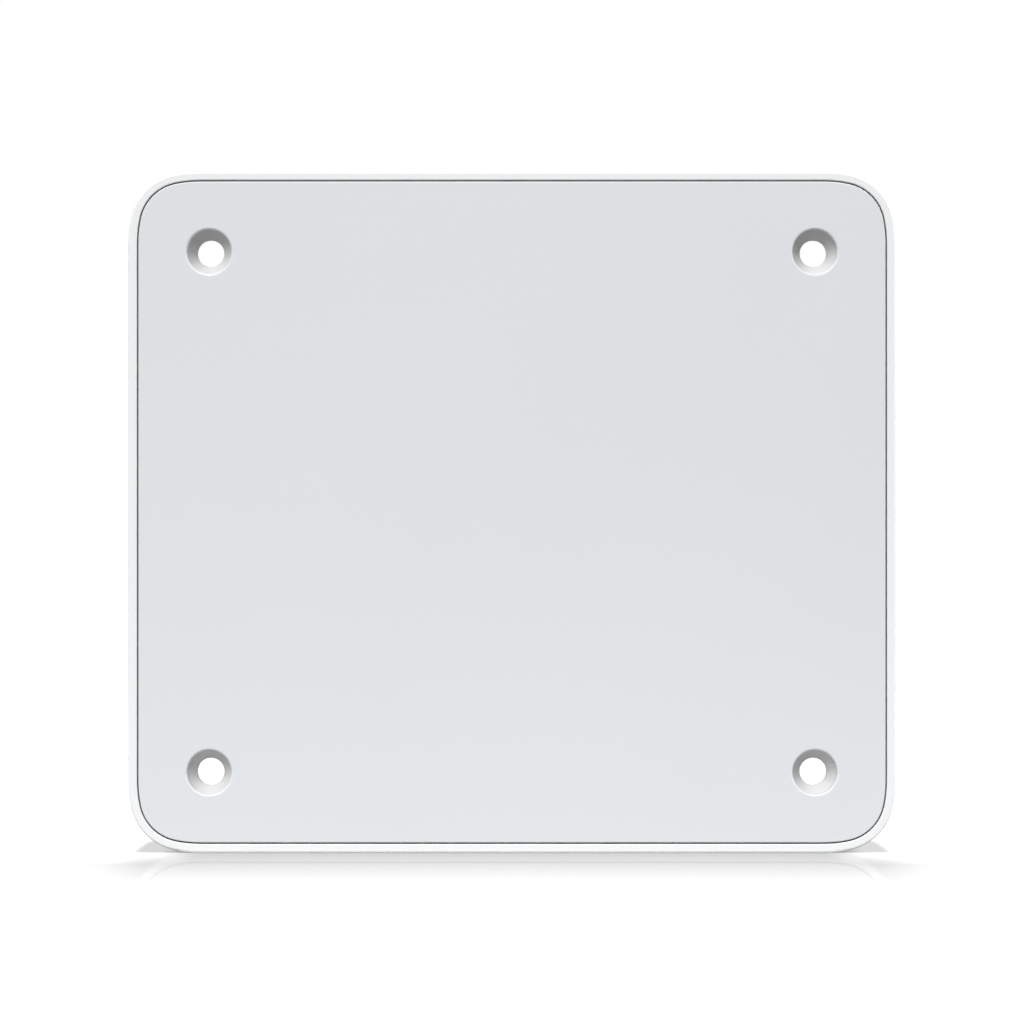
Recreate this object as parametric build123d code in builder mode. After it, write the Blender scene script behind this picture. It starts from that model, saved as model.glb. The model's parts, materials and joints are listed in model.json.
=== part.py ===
"""Ceiling access point: a slim casing that four screws hold to the ceiling through its front.

Lengths are millimetres and angles degrees.  X runs across the width and Z along the height of
the front face.  The ceiling is the plane y = 0 and the front looks along -Y, so a height h
below means the distance off the ceiling: y = -h.  The origin is the middle of the four screws.
"""

import os
from math import cos, radians, sin, tan

from build123d import *

os.makedirs("parts", exist_ok=True)

# ---------------------------------------------------------------- driving dimensions
# casing
width = 129.0
height = 114.5
corner_end_radius = 21.7
corner_middle_radius = 9.14
corner_end_turn = 12.0
rim_wall = 1.45
side_wall = 3.2
stand_off = 1.2
back_wall = 2.0
back_edge_radius = 2.5
rim_outer_radius = 0.4
rim_inner_radius = 0.15

# front panel and its gasket
panel_thickness = 2.0
panel_gap = 0.25
panel_edge_radius = 0.2
gasket_thickness = 0.6
gasket_width = 1.5
lip_clearance = 0.2
lip_thickness = 1.0
lip_height = 2.1

# ceiling screws: countersunk seats in the panel, spacer sleeves behind them
ceiling_screw_inset_x = 13.6
ceiling_screw_inset_z = 13.5
screw_bore_radius = 2.25
screw_pocket_radius = 3.72
screw_pocket_depth = 1.2
screw_mouth_radius = 0.4
countersink_angle = 90.0
seat_boss_height = 1.1
sleeve_inner_radius = 6.2
sleeve_wall = 1.5
sleeve_flange_width = 1.2
sleeve_flange_height = 1.2
sleeve_clearance = 0.05
pad_margin = 1.3
rail_width = 5.0

# case screws, driven from the back
case_screw_x = 30.0
case_screw_inset_z = 7.75
screw_head_radius = 2.25
screw_head_height = 1.8
screw_recess_radius = 1.0
screw_recess_depth = 0.9
screw_passage_radius = 1.4
screw_pilot_radius = 1.05
screw_thread_clearance = 0.02
counterbore_radius = 2.8
case_screw_grip = 7.9
case_boss_radius = 4.0
panel_boss_radius = 2.6
panel_boss_height = 3.1
pilot_depth_in_panel = 0.8

# main board
board_thickness = 1.6
board_front_space = 2.9
board_clearance = 1.2
board_end_clearance = 0.5
board_corner_radius = 2.0
board_boss_radius = 2.8
board_screw_inset = 3.5
board_screw_end_inset = 3.0
board_screw_depth = 6.0

# cable bay and network jack
bay_width = 30.0
bay_length = 34.0
bay_edge_inset = 7.25
bay_wall = 1.5
bay_board_clearance = 0.5
jack_width = 16.2
jack_length = 21.0
jack_height = 12.0
jack_back_clearance = 0.3
jack_sheet = 0.25
jack_window_clearance = 0.2
jack_mouth_width = 11.9
jack_mouth_height = 6.9
jack_mouth_depth = 12.5
jack_roof = 2.0
latch_width = 6.3
latch_height = 1.7
latch_neck_width = 4.0
latch_neck_height = 0.7
contact_count = 8
contact_pitch = 1.02
contact_radius = 0.2
contact_slot = 0.66
contact_droop = 2.0

# chips, shields, pads and heat sink, all on the side of the board that faces the ceiling
chip_height = 1.2
shield_height = 2.6
shield_sheet = 0.25
processor_shield_size = (26.0, 26.0)
radio_shield_size = (19.0, 17.0)
radio_shield_x = 24.5
thermal_pad_thickness = 0.5
thermal_pad_margin = 1.0
heat_sink_margin = 4.0
heat_sink_base = 1.8
fin_height = 4.0
fin_thickness = 1.2
fin_pitch = 4.75
heat_sink_gap = 1.0
heat_sink_post_radius = 2.5
heat_sink_post_inset = 4.0
vent_length = 9.0
vent_width = 2.0
vent_pitch_x = 4.75
vent_pitch_z = 11.5
vent_columns = 15
vent_rows = 3

# board and heat sink screws
board_screw_end_gap = 1.0
heat_sink_screw_grip = 1.0

# chips: places and sizes as x, across, along
shield_corner_radius = 1.0
processor_x = -4.5
processor_size = 14.0
processor_carrier_height = 0.5
processor_lid_margin = 1.5
memory_x = 8.0
memory_spacing = 12.0
memory_size = (8.0, 10.0)
radio_chip_x = 21.5
radio_chip_size = 9.0
amplifier_x = 30.0
amplifier_spacing = 8.0
amplifier_size = 3.0
thin_chip_height = 0.9
processor_pad_margin = 2.0
chip_pad_margin = 0.5
network_row_drop = 26.0
ethernet_x = 24.0
ethernet_size = 8.0
flash_x = 36.0
flash_size = 5.2
flash_height = 1.6
flash_stand_off = 0.15
flash_span = 7.8
lead_pitch = 1.27
lead_width = 0.4
lead_thickness = 0.2
crystal_drop = 8.5
crystal_size = (3.2, 2.5, 0.7)
crystal_corner_radius = 0.3

# power and network magnetics
lan_x = 27.0
lan_drop = 12.0
lan_size = (16.0, 7.0)
lan_height = 6.0
lan_corner_radius = 0.4
lan_lead_count = 12
lan_lead_span = 9.6
lan_lead_width = 0.5
lan_stand_off = 0.3
core_x = -26.5
core_drop = 18.0
core_size = (14.0, 8.0)
core_height = 9.0
core_lift = 1.0
core_plate = 2.0
core_post_radius = 2.4
core_leg = 1.8
core_gap = 0.05
bobbin_clearance = 0.1
bobbin_wall = 0.4
bobbin_flange_radius = 4.9
bobbin_flange = 0.5
bobbin_length = 16.0
pin_rail_size = (13.0, 3.0)
pin_rail_lift = 0.4
pin_count = 4
pin_pitch = 3.0
pin_size = (0.6, 4.0)
pin_shift = 0.5
winding_radius = 4.7
controller_x = -22.0
controller_drop = 13.5
controller_size = 5.0
capacitor_x = -37.0
capacitor_drops = (13.0, 22.5)
capacitor_base = 8.3
capacitor_base_height = 0.8
capacitor_base_corner = 1.0
capacitor_radius = 4.0
capacitor_height = 10.2
inductor_size = 6.6
inductor_corner_radius = 1.2
inductor_height = 4.0
inductor_pad_size = (2.0, 7.0)
inductor_pad_height = 0.2

# reset button
reset_x = 26.0
reset_edge_inset = 21.25
reset_cap_radius = 2.0
reset_hole_radius = 2.2
reset_recess = 0.5
reset_flange_radius = 2.9
reset_flange_height = 1.0
reset_flange_gap = 0.05
reset_stem_radius = 1.45
reset_guide_clearance = 0.1
reset_cup_height = 3.6
reset_guide_height = 3.0
reset_guide_wall = 1.1
switch_size = 6.0
switch_height = 3.5
plunger_radius = 1.7
plunger_clearance = 0.08
plunger_reach = 0.8
plunger_length = 2.2
plunger_travel = 0.5

# antennas, their carriers and cables
antenna_z = 18.0
carrier_width = 13.0
carrier_length = 26.0
carrier_thickness = 1.6
stake_spacing = 18.0
stake_post_radius = 2.0
stake_pin_radius = 1.0
stake_hole_clearance = 0.05
stake_head_radius = 1.7
stake_head_height = 0.6
antenna_sheet = 0.3
antenna_margin = 1.5
antenna_wall_height = 1.6
cable_radius = 0.57
cable_axis_height = 0.9
plug_inset = 3.0
plug_radius = 1.3
plug_height = 1.5
plug_overlap = 0.2
crimp_reach = 3.4
socket_base = 0.3
socket_height = 1.0
socket_radius = 0.9
upper_plug_rise = 4.0
lower_plug_rise = 20.0
feed_offset = 5.5

# status light
status_z = -30.0
light_guide_radius = 2.5
light_guide_depth = 0.6
light_guide_clearance = 0.05
light_guide_gap = 0.2
guide_collar_wall = 1.0
guide_collar_height = 1.8
led_height = 0.6

# rating label
label_width = 24.0
label_height = 20.0
label_recess = 0.2
label_thickness = 0.15
label_clearance = 0.3
label_x = -33.0
label_z = -22.0

# ---------------------------------------------------------------- heights off the ceiling
back_inside = stand_off + back_wall
jack_back = back_inside + jack_back_clearance
board_back = jack_back + jack_height
board_front = board_back + board_thickness
panel_back = board_front + board_front_space
depth = panel_back + panel_thickness
shoulder = panel_back - gasket_thickness
seat_back = panel_back - seat_boss_height
case_boss_top = panel_back - panel_boss_height
counterbore_floor = case_boss_top - case_screw_grip
shield_roof = board_back - shield_height
heat_sink_top = shield_roof - thermal_pad_thickness
fin_root = heat_sink_top - heat_sink_base
fin_tip = fin_root - fin_height
bay_roof = board_back - bay_board_clearance
bay_ceiling = bay_roof - bay_wall
switch_face = board_back - switch_height
plunger_face = switch_face - plunger_reach
cable_level = board_front + cable_axis_height
antenna_face = cable_level - cable_radius
carrier_top = antenna_face - antenna_sheet

# ---------------------------------------------------------------- places across the face
sleeve_outer_radius = sleeve_inner_radius + sleeve_wall
sleeve_flange_radius = sleeve_outer_radius + sleeve_flange_width
pad_radius = sleeve_flange_radius + pad_margin
ceiling_screw_x = width / 2 - ceiling_screw_inset_x
ceiling_screw_z = height / 2 - ceiling_screw_inset_z
case_screw_z = height / 2 - case_screw_inset_z
board_edge_x = ceiling_screw_x - sleeve_outer_radius - board_clearance
board_edge_z = case_screw_z - case_boss_radius - board_end_clearance
board_screw_x = board_edge_x - board_screw_inset
board_screw_z = board_edge_z - board_screw_end_inset
bay_low = -height / 2 + bay_edge_inset
jack_mouth_z = bay_low + bay_length
jack_rear_z = jack_mouth_z + jack_length
heat_sink_low = jack_rear_z + heat_sink_gap
heat_sink_high = board_screw_z - board_boss_radius - board_clearance
heat_sink_middle = (heat_sink_low + heat_sink_high) / 2
shield_middle_z = heat_sink_middle
heat_sink_width = 2 * (board_edge_x - heat_sink_margin)
heat_sink_post_x = heat_sink_width / 2 - heat_sink_post_inset
heat_sink_post_span = heat_sink_high - heat_sink_low - 2 * heat_sink_post_inset
reset_z = -height / 2 + reset_edge_inset
antenna_x = (board_edge_x + width / 2 - side_wall) / 2
plug_x = board_edge_x - plug_inset
lip_outer_inset = side_wall + lip_clearance
lip_inner_inset = lip_outer_inset + lip_thickness


# ---------------------------------------------------------------- shared shapes
def level(h):
    """The plane at height h off the ceiling: it faces the front, local x is X and local y is Z."""
    return Plane.XZ.offset(h)


def casing_outline(inset, mode=Mode.ADD):
    """Adds the casing's outline, moved inwards by inset, to the sketch being drawn.

    Each corner is three tangent arcs: a wide one, a tight one and a wide one again.
    """
    first_turn = radians(corner_end_turn)
    turned = radians(90 - corner_end_turn)
    reach = corner_end_radius * (sin(first_turn) + 1 - sin(turned))
    reach += corner_middle_radius * (sin(turned) - sin(first_turn))
    end_radius = corner_end_radius - inset
    middle_radius = corner_middle_radius - inset
    with BuildLine() as outline:
        top = Line((0, height / 2 - inset), (width / 2 - reach, height / 2 - inset))
        first = JernArc(top @ 1, top % 1, end_radius, -corner_end_turn)
        middle = JernArc(first @ 1, first % 1, middle_radius, 2 * corner_end_turn - 90)
        last = JernArc(middle @ 1, middle % 1, end_radius, -corner_end_turn)
        Line(last @ 1, (width / 2 - inset, 0))
        mirror(about=Plane.YZ)
        mirror(about=Plane.XZ)
    make_face(outline.edges(), mode=mode)


def casing_ring(outer_inset, inner_inset, low, high, mode=Mode.ADD):
    """Adds a ring that follows the casing's outline between two insets and two heights."""
    with BuildSketch(level(low)) as ring:
        casing_outline(outer_inset)
        casing_outline(inner_inset, mode=Mode.SUBTRACT)
    extrude(ring.sketch, amount=high - low, mode=mode)


def block(x, z, across, along, low, high, mode=Mode.ADD, corner=0.0):
    """Adds a block centred on (x, z), across by along in size, between two heights."""
    with BuildSketch(level(low)) as profile:
        with Locations((x, z)):
            if corner > 0:
                RectangleRounded(across, along, corner)
            else:
                Rectangle(across, along)
    extrude(profile.sketch, amount=high - low, mode=mode)


def post(x, z, radius, low, high, mode=Mode.ADD):
    """Adds a round post or hole centred on (x, z) between two heights."""
    with BuildSketch(level(low)) as profile:
        with Locations((x, z)):
            Circle(radius)
    extrude(profile.sketch, amount=high - low, mode=mode)


def four(x, z):
    """The four places at (+-x, +-z)."""
    return [(-x, -z), (x, -z), (-x, z), (x, z)]


def pan_screw(x, z, seat, tip, facing):
    """Adds a pan-head screw whose head seats at one height and whose shank ends at another.

    facing is +1 where the head is on the front side of its seat and -1 where it is behind it.
    """
    head_top = seat + facing * screw_head_height
    low, high = min(seat, head_top), max(seat, head_top)
    post(x, z, screw_head_radius, low, high)
    crown = max(high, low) if facing > 0 else min(high, low)
    recess_low, recess_high = sorted((crown, crown - facing * screw_recess_depth))
    with BuildSketch(level(recess_low)) as drive:
        with Locations((x, z)):
            RegularPolygon(screw_recess_radius, 6)
    extrude(drive.sketch, amount=recess_high - recess_low, mode=Mode.SUBTRACT)
    shank_low, shank_high = sorted((seat, tip))
    post(x, z, screw_pilot_radius - screw_thread_clearance, shank_low, shank_high)


def finish(builder, name):
    """Labels a finished piece and writes it."""
    builder.part.label = name
    export_step(builder.part, f"parts/{name}.step")


# ---------------------------------------------------------------- housing tray
with BuildPart() as housing_tray:
    # outer shape with its softened edges
    with BuildSketch(level(stand_off)):
        casing_outline(0)
    extrude(amount=depth - stand_off)
    fillet(housing_tray.faces().sort_by(Axis.Y)[-1].edges(), back_edge_radius)
    fillet(housing_tray.faces().sort_by(Axis.Y)[0].edges(), rim_outer_radius)

    # the cavity, and the wider recess that leaves a shoulder for the gasket and a thin rim
    with BuildSketch(level(back_inside)):
        casing_outline(side_wall)
    extrude(amount=depth, mode=Mode.SUBTRACT)
    with BuildSketch(level(shoulder)):
        casing_outline(rim_wall)
    extrude(amount=depth, mode=Mode.SUBTRACT)
    fillet(housing_tray.faces().sort_by(Axis.Y)[0].inner_wires()[0].edges(), rim_inner_radius)

    # raised rails and pads that stand on the ceiling
    with BuildSketch(level(0)):
        Rectangle(2 * ceiling_screw_x + rail_width, 2 * ceiling_screw_z + rail_width)
        Rectangle(
            2 * ceiling_screw_x - rail_width,
            2 * ceiling_screw_z - rail_width,
            mode=Mode.SUBTRACT,
        )
        with Locations(*four(ceiling_screw_x, ceiling_screw_z)):
            Circle(pad_radius)
    extrude(amount=stand_off + back_wall / 2)

    # cable bay, open to the ceiling, with a window for the jack in its end wall
    bay_middle = bay_low + bay_length / 2
    block(
        0,
        bay_middle,
        bay_width + 2 * bay_wall,
        bay_length + 2 * bay_wall,
        stand_off,
        bay_roof,
    )
    block(0, bay_middle, bay_width, bay_length, 0, bay_ceiling, mode=Mode.SUBTRACT)
    block(
        0,
        jack_mouth_z + bay_wall / 2,
        jack_width + 2 * jack_window_clearance,
        bay_wall,
        jack_back - jack_window_clearance,
        bay_roof,
        mode=Mode.SUBTRACT,
    )

    # bosses for the board screws
    for x, z in four(board_screw_x, board_screw_z):
        post(x, z, board_boss_radius, back_inside, board_back)
        post(x, z, screw_pilot_radius, board_back - board_screw_depth, board_back, Mode.SUBTRACT)

    # bosses for the case screws, counterbored from the back
    for x, z in four(case_screw_x, case_screw_z):
        post(x, z, case_boss_radius, back_inside, case_boss_top)
        post(x, z, counterbore_radius, 0, counterbore_floor, Mode.SUBTRACT)
        post(x, z, screw_passage_radius, counterbore_floor, case_boss_top, Mode.SUBTRACT)

    # posts with headed pins that hold the antenna carriers
    for x, z in four(antenna_x, antenna_z):
        for end in (-1, 1):
            stake_z = z + end * stake_spacing / 2
            carrier_low = carrier_top - carrier_thickness
            head_low = antenna_face
            post(x, stake_z, stake_post_radius, back_inside, carrier_low)
            post(x, stake_z, stake_pin_radius, carrier_low, head_low)
            post(x, stake_z, stake_head_radius, head_low, head_low + stake_head_height)

    # guide for the reset button: a cup for its flange, then a close bore for its stem
    cup_radius = reset_flange_radius + reset_guide_clearance
    guide_radius = reset_stem_radius + reset_guide_clearance
    cup_top = back_inside + reset_cup_height
    guide_top = cup_top + reset_guide_height
    post(reset_x, reset_z, cup_radius + reset_guide_wall, back_inside, cup_top + reset_guide_wall)
    post(reset_x, reset_z, cup_radius, back_inside, cup_top, Mode.SUBTRACT)
    post(reset_x, reset_z, guide_radius + reset_guide_wall, cup_top, guide_top)
    post(reset_x, reset_z, guide_radius, cup_top, guide_top, Mode.SUBTRACT)
    post(reset_x, reset_z, reset_hole_radius, stand_off, back_inside, Mode.SUBTRACT)

    # holes for the spacer sleeves
    for x, z in four(ceiling_screw_x, ceiling_screw_z):
        post(x, z, sleeve_outer_radius + sleeve_clearance, 0, back_inside, Mode.SUBTRACT)

    # vents behind the heat sink
    with BuildSketch(level(stand_off)):
        with Locations((0, heat_sink_middle)):
            with GridLocations(vent_pitch_x, vent_pitch_z, vent_columns, vent_rows):
                SlotOverall(vent_length, vent_width, rotation=90)
    extrude(amount=back_wall, mode=Mode.SUBTRACT)

    # shallow recess for the label
    block(
        label_x,
        label_z,
        label_width,
        label_height,
        stand_off,
        stand_off + label_recess,
        mode=Mode.SUBTRACT,
    )
finish(housing_tray, "housing_tray")

# ---------------------------------------------------------------- front panel
with BuildPart() as front_panel:
    with BuildSketch(level(panel_back)):
        casing_outline(rim_wall + panel_gap)
    extrude(amount=panel_thickness)
    fillet(front_panel.faces().sort_by(Axis.Y)[0].edges(), panel_edge_radius)

    # locating lip inside the tray
    casing_ring(lip_outer_inset, lip_inner_inset, panel_back - lip_height, panel_back)

    # bosses that stand on the spacer sleeves, and those that take the case screws
    for x, z in four(ceiling_screw_x, ceiling_screw_z):
        post(x, z, sleeve_outer_radius, seat_back, panel_back)
    for x, z in four(case_screw_x, case_screw_z):
        post(x, z, panel_boss_radius, case_boss_top, panel_back)
        pilot_end = panel_back + pilot_depth_in_panel
        post(x, z, screw_pilot_radius, case_boss_top, pilot_end, Mode.SUBTRACT)

    # collar and recess that hold the light guide behind a thinned spot
    collar_radius = light_guide_radius + light_guide_clearance
    collar_low = panel_back - guide_collar_height
    post(0, status_z, collar_radius + guide_collar_wall, collar_low, panel_back)
    recess_end = panel_back + light_guide_depth
    post(0, status_z, collar_radius, collar_low, recess_end, Mode.SUBTRACT)

    # recessed countersinks and clearance bores for the ceiling screws
    with Locations(level(depth)):
        with GridLocations(2 * ceiling_screw_x, 2 * ceiling_screw_z, 2, 2):
            CounterBoreHole(screw_bore_radius, screw_pocket_radius, screw_pocket_depth)
    with Locations(level(depth - screw_pocket_depth)):
        with GridLocations(2 * ceiling_screw_x, 2 * ceiling_screw_z, 2, 2):
            CounterSinkHole(
                screw_bore_radius,
                screw_pocket_radius,
                counter_sink_angle=countersink_angle,
            )
    front_face = front_panel.faces().sort_by(Axis.Y)[0]
    mouths = front_face.inner_wires().edges()
    fillet(mouths, screw_mouth_radius)
finish(front_panel, "front_panel")

# ---------------------------------------------------------------- gasket
with BuildPart() as panel_gasket:
    gasket_outer = rim_wall + sleeve_clearance
    casing_ring(gasket_outer, gasket_outer + gasket_width, shoulder, panel_back)
finish(panel_gasket, "panel_gasket")

# ---------------------------------------------------------------- spacer sleeves
sleeve_names = ("lower_left", "lower_right", "upper_left", "upper_right")
for place, (x, z) in zip(sleeve_names, four(ceiling_screw_x, ceiling_screw_z)):
    with BuildPart() as sleeve:
        post(x, z, sleeve_outer_radius, 0, seat_back)
        post(x, z, sleeve_flange_radius, back_inside, back_inside + sleeve_flange_height)
        post(x, z, sleeve_inner_radius, 0, seat_back, Mode.SUBTRACT)
    finish(sleeve, f"mounting_sleeve_{place}")

# ---------------------------------------------------------------- case screws
with BuildPart() as case_screws:
    for x, z in four(case_screw_x, case_screw_z):
        pan_screw(x, z, counterbore_floor, panel_back + pilot_depth_in_panel / 2, -1)
finish(case_screws, "case_screws")

# ---------------------------------------------------------------- rating label
with BuildPart() as rating_label:
    block(
        label_x,
        label_z,
        label_width - 2 * label_clearance,
        label_height - 2 * label_clearance,
        stand_off + label_recess - label_thickness,
        stand_off + label_recess,
    )
finish(rating_label, "rating_label")

# ---------------------------------------------------------------- main board
with BuildPart() as main_board:
    block(
        0,
        0,
        2 * board_edge_x,
        2 * board_edge_z,
        board_back,
        board_front,
        corner=board_corner_radius,
    )
    for x, z in four(board_screw_x, board_screw_z):
        post(x, z, screw_passage_radius, board_back, board_front, Mode.SUBTRACT)
    for x, z in four(heat_sink_post_x, heat_sink_post_span / 2):
        hole_z = z + heat_sink_middle
        post(x, hole_z, screw_passage_radius, board_back, board_front, Mode.SUBTRACT)
finish(main_board, "main_board")

with BuildPart() as board_screws:
    for x, z in four(board_screw_x, board_screw_z):
        pan_screw(x, z, board_front, board_back - board_screw_depth + board_screw_end_gap, 1)
finish(board_screws, "board_screws")

# ---------------------------------------------------------------- heat sink
with BuildPart() as heat_sink:
    heat_sink_length = heat_sink_high - heat_sink_low
    block(0, heat_sink_middle, heat_sink_width, heat_sink_length, fin_root, heat_sink_top)
    fin_count = int((heat_sink_width - fin_thickness) // fin_pitch) + 1
    with BuildSketch(level(fin_tip)):
        with Locations((0, heat_sink_middle)):
            with GridLocations(fin_pitch, 1, fin_count, 1):
                Rectangle(fin_thickness, heat_sink_length)
    extrude(amount=fin_height)
    for x, z in four(heat_sink_post_x, heat_sink_post_span / 2):
        post_z = z + heat_sink_middle
        post(x, post_z, heat_sink_post_radius, heat_sink_top, board_back)
        post(x, post_z, screw_pilot_radius, fin_root, board_back, Mode.SUBTRACT)
finish(heat_sink, "heat_sink")

with BuildPart() as heat_sink_screws:
    for x, z in four(heat_sink_post_x, heat_sink_post_span / 2):
        screw_end = heat_sink_top - heat_sink_screw_grip
        pan_screw(x, z + heat_sink_middle, board_front, screw_end, 1)
finish(heat_sink_screws, "heat_sink_screws")

# ---------------------------------------------------------------- shields and pads
shields = {
    "processor_shield": (0.0, processor_shield_size),
    "radio_shield_2ghz": (-radio_shield_x, radio_shield_size),
    "radio_shield_5ghz": (radio_shield_x, radio_shield_size),
}
for name, (x, (across, along)) in shields.items():
    with BuildPart() as shield:
        block(
            x,
            shield_middle_z,
            across,
            along,
            shield_roof,
            board_back,
            corner=shield_corner_radius,
        )
        block(
            x,
            shield_middle_z,
            across - 2 * shield_sheet,
            along - 2 * shield_sheet,
            shield_roof + shield_sheet,
            board_back,
            mode=Mode.SUBTRACT,
            corner=shield_corner_radius - shield_sheet,
        )
    finish(shield, name)

with BuildPart() as thermal_pads:
    for x, (across, along) in shields.values():
        block(
            x,
            shield_middle_z,
            across - 2 * thermal_pad_margin,
            along - 2 * thermal_pad_margin,
            heat_sink_top,
            shield_roof,
        )
finish(thermal_pads, "thermal_pads")

# ---------------------------------------------------------------- chips under the shields
chip_face = board_back - chip_height
memory_places = [
    (memory_x, shield_middle_z + side * memory_spacing / 2, *memory_size) for side in (-1, 1)
]
radio_places = {
    "radio_chip_2ghz": (-radio_chip_x, shield_middle_z, radio_chip_size, radio_chip_size),
    "radio_chip_5ghz": (radio_chip_x, shield_middle_z, radio_chip_size, radio_chip_size),
}

with BuildPart() as processor_chip:
    lid_size = processor_size - 2 * processor_lid_margin
    carrier_face = chip_face + processor_carrier_height
    block(processor_x, shield_middle_z, processor_size, processor_size, carrier_face, board_back)
    block(processor_x, shield_middle_z, lid_size, lid_size, chip_face, carrier_face)
finish(processor_chip, "processor_chip")

with BuildPart() as memory_chips:
    for x, z, across, along in memory_places:
        block(x, z, across, along, chip_face, board_back)
finish(memory_chips, "memory_chips")

for name, (x, z, across, along) in radio_places.items():
    with BuildPart() as radio_chip:
        block(x, z, across, along, chip_face, board_back)
    finish(radio_chip, name)

with BuildPart() as power_amplifiers:
    thin_face = board_back - thin_chip_height
    for x, z in four(amplifier_x, amplifier_spacing / 2):
        block(x, shield_middle_z + z, amplifier_size, amplifier_size, thin_face, board_back)
finish(power_amplifiers, "power_amplifiers")

with BuildPart() as chip_pads:
    pad_face = shield_roof + shield_sheet
    pad_size = processor_size - 2 * processor_pad_margin
    block(processor_x, shield_middle_z, pad_size, pad_size, pad_face, chip_face)
    for x, z, across, along in memory_places + list(radio_places.values()):
        pad_across, pad_along = across - 2 * chip_pad_margin, along - 2 * chip_pad_margin
        block(x, z, pad_across, pad_along, pad_face, chip_face)
finish(chip_pads, "chip_pads")

# ---------------------------------------------------------------- other chips
network_row_z = heat_sink_low - network_row_drop
with BuildPart() as ethernet_chip:
    block(ethernet_x, network_row_z, ethernet_size, ethernet_size, thin_face, board_back)
finish(ethernet_chip, "ethernet_chip")

with BuildPart() as flash_chip:
    body_high = board_back - flash_stand_off
    block(flash_x, network_row_z, flash_size, flash_size, body_high - flash_height, body_high)
    for row in range(4):
        lead_z = network_row_z + (row - 1.5) * lead_pitch
        block(flash_x, lead_z, flash_span, lead_width, board_back - lead_thickness, board_back)
finish(flash_chip, "flash_chip")

with BuildPart() as crystal:
    across, along, tall = crystal_size
    block(
        ethernet_x,
        network_row_z - crystal_drop,
        across,
        along,
        board_back - tall,
        board_back,
        corner=crystal_corner_radius,
    )
finish(crystal, "crystal")

# ---------------------------------------------------------------- network jack
jack_middle_z = (jack_mouth_z + jack_rear_z) / 2
mouth_top = board_back - jack_roof
mouth_low = mouth_top - jack_mouth_height

with BuildPart() as jack_shell:
    block(0, jack_middle_z, jack_width, jack_length, jack_back, board_back)
    inner_width = jack_width - 2 * jack_sheet
    inner_middle = jack_middle_z - jack_sheet / 2
    inner_length = jack_length - jack_sheet
    inner_low = jack_back + jack_sheet
    block(0, inner_middle, inner_width, inner_length, inner_low, board_back, mode=Mode.SUBTRACT)
finish(jack_shell, "jack_shell")

with BuildPart() as jack_insert:
    # block that fills the shell, then the stepped mouth for a plug and its latch
    block(0, inner_middle, inner_width, inner_length, inner_low, board_back)
    mouth_middle = jack_mouth_z + jack_mouth_depth / 2
    steps = (
        (jack_mouth_width, mouth_low, mouth_top),
        (latch_width, mouth_low - latch_height, mouth_low),
        (latch_neck_width, mouth_low - latch_height - latch_neck_height, mouth_low - latch_height),
    )
    for step_width, step_low, step_high in steps:
        block(
            0,
            mouth_middle,
            step_width,
            jack_mouth_depth,
            step_low,
            step_high,
            mode=Mode.SUBTRACT,
        )
    # comb of slots for the contacts
    comb_front = jack_mouth_z + 1.0
    comb_rear = jack_rear_z - 4.0
    with BuildSketch(level(mouth_top)) as comb:
        with Locations((0, (comb_front + comb_rear) / 2)):
            with GridLocations(contact_pitch, 1, contact_count, 1):
                Rectangle(contact_slot, comb_rear - comb_front)
    extrude(comb.sketch, amount=jack_roof, mode=Mode.SUBTRACT)
finish(jack_insert, "jack_insert")

with BuildPart() as jack_contacts:
    run_h = mouth_top + 0.4
    tail_z = comb_rear - 0.5
    turn_z = comb_front + 0.6
    for number in range(contact_count):
        x = (number - (contact_count - 1) / 2) * contact_pitch
        with BuildLine(Plane.YZ.offset(x)) as wire:
            FilletPolyline(
                (-board_back, tail_z),
                (-run_h, tail_z),
                (-run_h, turn_z),
                (-(mouth_top - 0.3), turn_z - 0.35),
                (-(mouth_top - contact_droop), jack_mouth_z + jack_mouth_depth - 4.5),
                radius=(0.5, 0.3, 0.3),
            )
        with BuildSketch(Plane(origin=wire.line @ 0, z_dir=wire.line % 0)) as section:
            Circle(contact_radius)
        sweep(section.sketch, path=wire.line)
finish(jack_contacts, "jack_contacts")

# ---------------------------------------------------------------- power and network magnetics
with BuildPart() as lan_transformer:
    lan_z = heat_sink_low - lan_drop
    lan_low, lan_high = board_back - lan_height, board_back - lan_stand_off
    block(lan_x, lan_z, *lan_size, lan_low, lan_high, corner=lan_corner_radius)
    for row in range(lan_lead_count):
        lead_x = lan_x + (row - (lan_lead_count - 1) / 2) * lead_pitch
        block(lead_x, lan_z, lan_lead_width, lan_lead_span, lan_high - core_gap, board_back)
finish(lan_transformer, "lan_transformer")

with BuildPart() as poe_transformer:
    # two ferrite plates joined by a round centre post and two outer legs
    core_z = heat_sink_low - core_drop
    core_high = board_back - core_lift
    core_low = core_high - core_height
    core_across, core_along = core_size
    block(core_x, core_z, core_across, core_along, core_low, core_low + core_plate)
    block(core_x, core_z, core_across, core_along, core_high - core_plate, core_high)
    post(core_x, core_z, core_post_radius, core_low, core_high)
    for side in (-1, 1):
        leg_x = core_x + side * (core_across - core_leg) / 2
        block(leg_x, core_z, core_leg, core_along, core_low, core_high)
finish(poe_transformer, "poe_transformer")

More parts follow.
